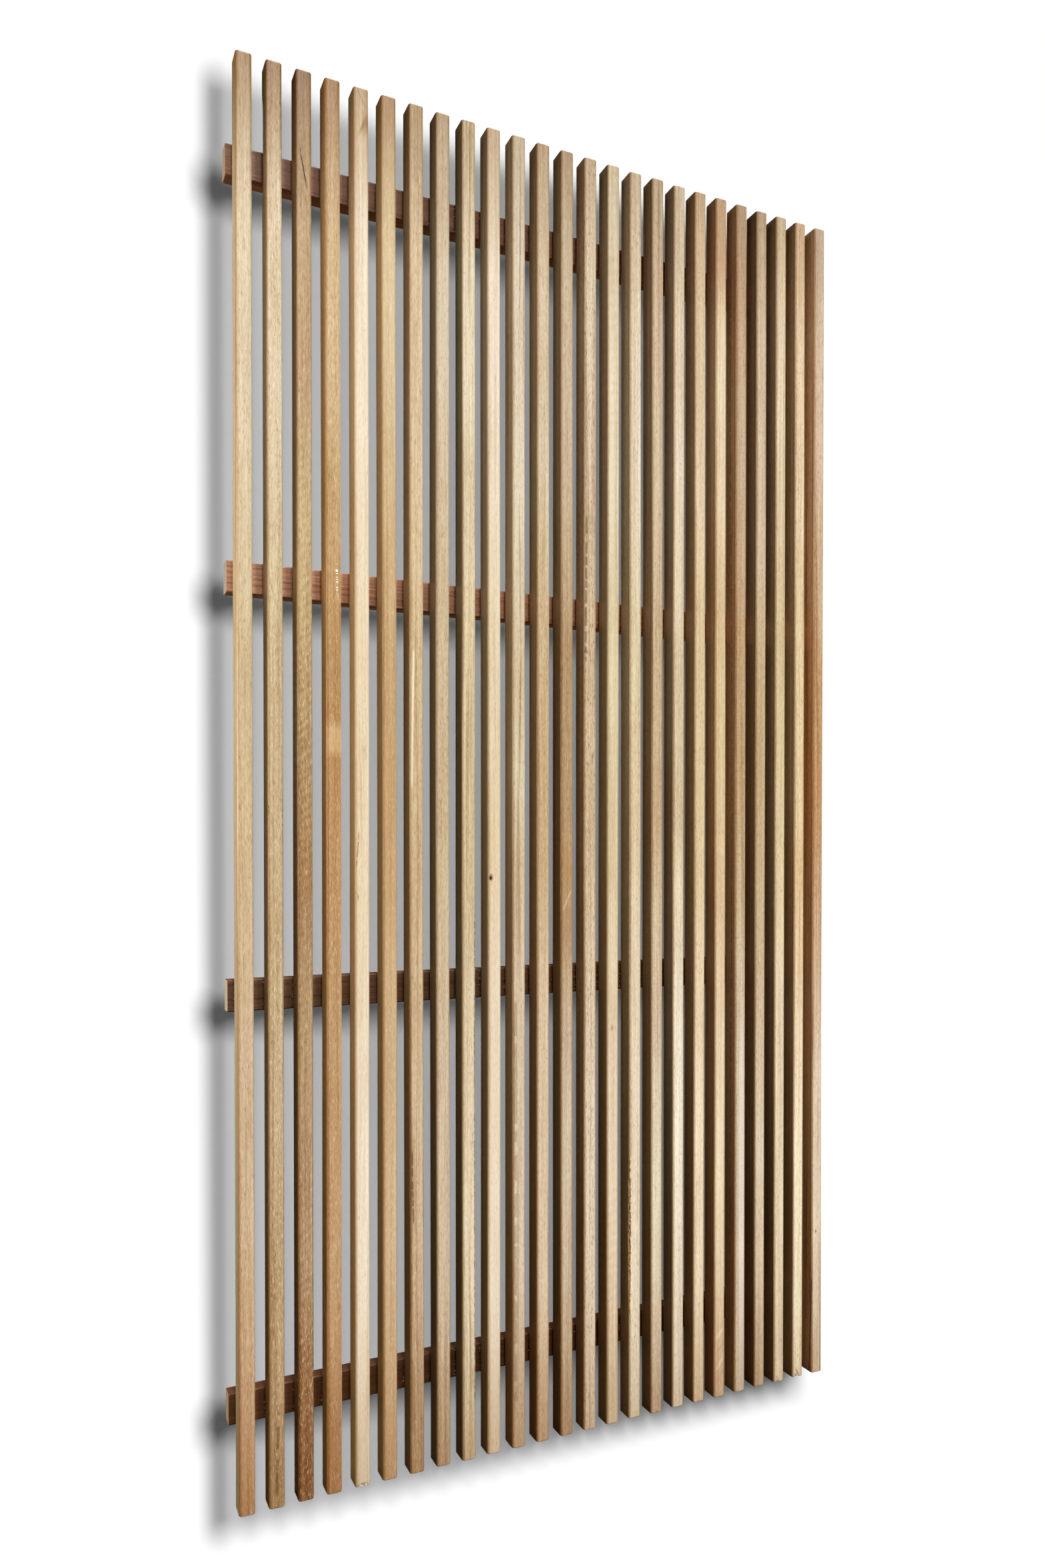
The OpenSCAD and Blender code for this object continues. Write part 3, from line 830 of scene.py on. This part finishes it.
# A drilled and countersunk hole, turned from its profile of radius and height
profile = [(0, HOLE_ABOVE), (MOUTH_R, HOLE_ABOVE), (MOUTH_R, -MOUTH_DEPTH),
           (BORE_R, -MOUTH_DEPTH - MOUTH_R + BORE_R), (BORE_R, -HOLE_BELOW), (0, -HOLE_BELOW)]
hole = bmesh.new()
corners = [hole.verts.new((r, 0, z)) for r, z in profile]
edges = [hole.edges.new(pair) for pair in zip(corners, corners[1:])]
bmesh.ops.spin(hole, geom=corners + edges, axis=(0, 0, 1), cent=(0, 0, 0), angle=2 * math.pi,
               steps=HOLE_SIDES, use_merge=True)
bmesh.ops.remove_doubles(hole, verts=hole.verts[:], dist=SAME)
bmesh.ops.recalc_face_normals(hole, faces=hole.faces[:])
hole_shape = mesh_of(hole, "screw_hole")

for order, (node_name, tone) in enumerate(RAILS.items()):
    low, high, size, middle = box_of(node_name)
    bm = bmesh.new()
    rounded_section(bm, size.z, size.y, RAIL_CORNER_R, RAIL_CORNER_STEPS, *RAIL_COLUMNS)
    pull_up(bm, heights(size.x))
    ease_ends(bm)
    rotate(bm, math.radians(90), "Y")
    bmesh.ops.translate(bm, verts=bm.verts[:], vec=(low.x, middle.y, middle.z))
    material = timber(f"planed_merbau_{order + 1}", MERBAU | tone, tuple(middle), RAIL_SEED + order,
                      along_x=True)
    piece = finish_mesh(bm, f"{node_name}_timber", material)
    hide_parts(node_name)

    cutter = new_object("screw_holes", mesh_of(row_of(hole_shape, middle.z, high.y), "screw_holes"))
    drill = piece.modifiers.new("drill", "BOOLEAN")
    drill.object = cutter
    drill.operation = "DIFFERENCE"
    drill.solver = "EXACT"
    drilled = bpy.data.meshes.new_from_object(piece.evaluated_get(bpy.context.evaluated_depsgraph_get()))
    piece.modifiers.clear()
    clean = bmesh.new()
    clean.from_mesh(drilled)
    bmesh.ops.dissolve_degenerate(clean, dist=SLIVER, edges=clean.edges[:])
    clean.to_mesh(drilled)
    clean.free()
    piece.data = drilled
    drilled.name = f"{node_name}_timber"
    bpy.data.objects.remove(cutter)

# Screws
# Countersunk stainless wood screws with a square drive, one behind each batten in each
# rail. They are turned in until the heads lie just below the back of the rail.
HEAD_R = 0.004
HEAD_RIM = 0.0004
HEAD_SINK = 0.0004
SHANK_R = 0.0021
SCREW_LENGTH = 0.0396
POINT_LENGTH = 0.006
TIP_R = 0.0004
DRIVE = 0.0028
DRIVE_DEPTH = 0.0016
# The drive's rim of 3 edges a side meets a head of 12, turned by half a side
DRIVE_CUTS = 2
HEAD_SIDES = 12
# The size of the metal's uneven patches, and the roughness they lie between
PATCH_MM = 1.2
STEEL_ROUGH = (0.26, 0.42)

# Satin stainless steel: a grey metal with soft, slightly uneven gloss
steel, add = new_material("satin_stainless_steel")
place = add("TexCoord")
uneven = add("TexNoise", {"Vector": place.outputs["Object"], "Scale": 1000 / PATCH_MM, "Detail": 2.0})
gloss = add("MapRange", [uneven, *PATTERN_ENDS, *STEEL_ROUGH])
tint = add("Mix", [uneven, linear("#B4B3B0"), linear("#D2D2D0")], data_type="RGBA")
surface = add("BsdfPrincipled", {"Base Color": tint, "Roughness": gloss, "Metallic": 1.0})
add("OutputMaterial", [surface])

# The square recess, its walls, and the ring of the head round it
screw = bmesh.new()
bmesh.ops.create_grid(screw, x_segments=1, y_segments=1, size=DRIVE / 2)
bmesh.ops.translate(screw, verts=screw.verts[:], vec=(0, 0, -DRIVE_DEPTH))
bmesh.ops.subdivide_edges(screw, edges=screw.edges[:], cuts=DRIVE_CUTS, use_grid_fill=True)
rim = [e for e in screw.edges if e.is_boundary]
wall = bmesh.ops.extrude_edge_only(screw, edges=rim)["geom"]
recess = [e for e in wall if isinstance(e, bmesh.types.BMEdge) and e.is_boundary]
corners = [v for v in wall if isinstance(v, bmesh.types.BMVert)]
bmesh.ops.translate(screw, verts=corners, vec=(0, 0, DRIVE_DEPTH))
ring = bmesh.ops.create_circle(screw, segments=HEAD_SIDES, radius=HEAD_R)["verts"]
rotate(screw, math.pi / HEAD_SIDES, "Z", ring)
edge_loop = list({e for v in ring for e in v.link_edges})
bmesh.ops.bridge_loops(screw, edges=recess + edge_loop)

# From the head's rim over its cone and the shank to the point
profile = [(HEAD_R, 0.0), (HEAD_R, HEAD_RIM), (SHANK_R, HEAD_RIM + HEAD_R - SHANK_R),
           (SHANK_R, SCREW_LENGTH - POINT_LENGTH), (TIP_R, SCREW_LENGTH)]
for (radius, depth), (next_radius, next_depth) in zip(profile, profile[1:]):
    grown = bmesh.ops.extrude_edge_only(screw, edges=edge_loop)["geom"]
    corners = [v for v in grown if isinstance(v, bmesh.types.BMVert)]
    edge_loop = [e for e in grown if isinstance(e, bmesh.types.BMEdge) and e.is_boundary]
    bmesh.ops.scale(screw, verts=corners, vec=(next_radius / radius, next_radius / radius, 1))
    bmesh.ops.translate(screw, verts=corners, vec=(0, 0, depth - next_depth))
bmesh.ops.contextual_create(screw, geom=edge_loop)
bmesh.ops.recalc_face_normals(screw, faces=screw.faces[:])
screw_shape = mesh_of(screw, "screw")

for node_name in RAILS:
    _, high, _, middle = box_of(node_name)
    bm = row_of(screw_shape, middle.z, high.y - HEAD_SINK)
    piece = finish_mesh(bm, f"{node_name}_screws_steel", steel)
    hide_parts(f"{node_name}_screws")

# Saw chips
# Crumbs of pale wood that stuck in the corners between battens and rails when the
# panel was put together.
CHIP_COUNTS = (0, 0, 0, 0, 1, 2, 4, 9)
CHIP_R = (0.00035, 0.0008)
CHIP_OUT = 0.0100
CHIP_ABOVE_EDGE = 0.003
CHIP_BELOW_EDGE = 0.002
CHIP_SEED = 77
MOTTLE_MM = 3.0

rng = random.Random(CHIP_SEED)
bm = bmesh.new()
for node_name in RAILS:
    low, high, *_ = box_of(node_name)
    for x in SCREW_X:
        for side in (-1, 1):
            for _ in range(rng.choice(CHIP_COUNTS)):
                size = rng.uniform(*CHIP_R)
                height = rng.uniform(low.z + CHIP_ABOVE_EDGE, high.z - CHIP_BELOW_EDGE)
                place = (x + side * (CHIP_OUT + 0.5 * size), low.y, height)
                chip = bmesh.ops.create_icosphere(bm, subdivisions=1, radius=size)["verts"]
                bmesh.ops.scale(bm, verts=chip, vec=(rng.uniform(0.5, 1.0), 0.6, rng.uniform(0.7, 1.6)))
                rotate(bm, rng.uniform(-1, 1), "Y", chip)
                bmesh.ops.translate(bm, verts=chip, vec=place)

# Dry sawn hardwood: matt, and mottled from pale to golden
chips, add = new_material("pale_saw_chips")
place = add("TexCoord")
mottle = add("TexNoise", {"Vector": place.outputs["Object"], "Scale": 1000 / MOTTLE_MM, "Detail": 1.0})
tint = add("Mix", [mottle, linear("#B8863C"), linear("#F4E2B8")], data_type="RGBA")
surface = add("BsdfPrincipled", {"Base Color": tint, "Roughness": 0.7})
add("OutputMaterial", [surface])
finish_mesh(bm, "saw_chips", chips)

# Wall and floor
# A plain white wall behind the panel, turned a little from it, takes its soft shadow, and
# a pale floor lies well below. Neither throws light back on the panel.
WALL_AT = Vector((1.7, 1.782, 0.9))
WALL_TURN = math.radians(18.9)
WALL_SIZE = 6.6
WALL_ALBEDO = 0.06
SHADOW_GREY = 0.09
WALL_LAMP_AT = Vector((-0.6167, -1.3901, 0.8754))
FLOOR_DROP = 1.45
FLOOR_SIZE = 12.0


def plain_sheet(name, centre, tip, turn, size):
    """A flat square sheet that throws no light back on the panel."""
    bm = bmesh.new()
    bmesh.ops.create_grid(bm, x_segments=1, y_segments=1, size=size / 2)
    rotate(bm, tip, "X")
    rotate(bm, turn, "Z")
    bmesh.ops.translate(bm, verts=bm.verts[:], vec=centre)
    sheet = new_object(name, mesh_of(bm, name))
    sheet.visible_diffuse = False
    sheet.visible_glossy = False
    return sheet


wall = plain_sheet("studio_wall", WALL_AT, math.radians(90), WALL_TURN, WALL_SIZE)
wall.visible_shadow = False
# The lamp's light falls off as the cube of the distance here, so the paint gets paler as
# much and the wall looks evenly lit. Its back is clear.
material, add = new_material("white_wall_paint")
place = add("TexCoord")
away = add("VectorMath", [place.outputs["Object"], tuple(WALL_LAMP_AT)], "DISTANCE")
nearest = (WALL_LAMP_AT - WALL_AT).dot(Vector((math.sin(WALL_TURN), -math.cos(WALL_TURN), 0)))
away = add("Math", [away.outputs["Value"], 1 / nearest], "MULTIPLY")
away = add("Math", [away, 3.0], "POWER")
away = add("Math", [away, WALL_ALBEDO], "MULTIPLY")
paint = add("BsdfDiffuse", [away])
ray = add("LightPath")
level = add("Math", [ray.outputs["Is Camera Ray"], SHADOW_GREY], "MULTIPLY")
base = add("Emission", {"Strength": level})
seen = add("AddShader", [paint, base])
clear = add("BsdfTransparent")
facing = add("NewGeometry")
mixed = add("MixShader", [facing.outputs["Backfacing"], seen, clear])
add("OutputMaterial", [mixed])
wall.data.materials.append(material)

floor = plain_sheet("studio_floor", (0, 0, cad_box[0][2] - FLOOR_DROP), 0, 0, FLOOR_SIZE)
material, add = new_material("pale_floor")
paint = add("BsdfDiffuse", [linear("#D6D6D4")])
add("OutputMaterial", [paint])
floor.data.materials.append(material)

# Lamps
# Far key lamps and softboxes light the panel from the front, the sides and behind. A
# small round lamp beside the camera lights the wall alone and draws the shadow there.
AIM = Vector((0, -0.024, 0.9))
SUN_AT = 5
WALL_LEVEL = 0.93
WALL_LAMP_R = 0.042
ROOM_STRENGTH = 0.005

not_the_wall = bpy.data.collections.new("not_the_wall")
not_the_wall.objects.link(wall)
not_the_wall.collection_objects[0].light_linking.link_state = "EXCLUDE"


def shine(name, right, up, level, size, distance=0):
    """Hangs a square softbox, or a far lamp whose size is an angle, that looks at the middle.
    The level is how bright it makes a white face that is turned to it."""
    right, up = math.radians(right), math.radians(up)
    toward = Vector((math.sin(right) * math.cos(up), -math.cos(right) * math.cos(up), math.sin(up)))
    light = bpy.data.lights.new(name, "AREA" if distance else "SUN")
    if distance:
        light.size = size
        light.energy = level * (math.pi * distance) ** 2
    else:
        light.angle = math.radians(size)
        light.energy = level * math.pi
    lamp = new_object(name, light)
    lamp.location = AIM + toward * (distance or SUN_AT)
    lamp.rotation_euler = toward.to_track_quat("Z", "Y").to_euler()
    lamp.visible_camera = False
    lamp.light_linking.receiver_collection = not_the_wall
    return lamp


# The softboxes at the right give the planed faces their satin sheen. The two at the left
# light the sides and the rails' ends, and the back lamp lights the backs.
shine("key_lamp", right=2, up=60, level=1.05, size=6)
shine("right_key_lamp", right=19, up=57, level=0.90, size=6)
shine("upper_right_softbox", right=38, up=30, level=0.11, size=0.9, distance=3.1)
shine("right_softbox", right=33, up=-14, level=0.14, size=0.9, distance=3.0)
shine("low_right_softbox", right=30, up=-30, level=0.15, size=0.8, distance=3.2)
shine("high_left_softbox", right=-52, up=42, level=0.195, size=0.8, distance=1.9)
shine("left_softbox", right=-90, up=5, level=0.78, size=0.8, distance=1.9)
shine("back_lamp", right=165, up=16, level=0.80, size=24).visible_glossy = False

# This softbox shows in the screws' metal and lights nothing else
only_the_screws = bpy.data.collections.new("only_the_screws")
for node_name in RAILS:
    only_the_screws.objects.link(bpy.data.objects[f"{node_name}_screws_steel"])
screws_softbox = shine("screws_softbox", right=180, up=8, level=0.9, size=1.8, distance=1.3)
screws_softbox.light_linking.receiver_collection = only_the_screws

wall_lamp = new_object("wall_lamp", bpy.data.lights.new("wall_lamp", "POINT"))
wall_lamp.location = WALL_LAMP_AT
wall_lamp.data.shadow_soft_size = WALL_LAMP_R
wall_lamp.data.energy = WALL_LEVEL / WALL_ALBEDO * (2 * math.pi * nearest) ** 2
wall_lamp.visible_camera = False
only_the_wall = bpy.data.collections.new("only_the_wall")
only_the_wall.objects.link(wall)
wall_lamp.light_linking.receiver_collection = only_the_wall

# The room is white to the eye and nearly dark to the panel
world = bpy.data.worlds.new("white_room")
world.use_nodes = True
world.node_tree.nodes.clear()
bpy.context.scene.world = world
add = partial(add_node, world.node_tree)
ray = add("LightPath")
level = add("MapRange", [ray.outputs["Is Camera Ray"], 0.0, 1.0, ROOM_STRENGTH, 1.0])
room = add("Background", {"Color": (1, 1, 1, 1), "Strength": level})
add("OutputWorld", [room])
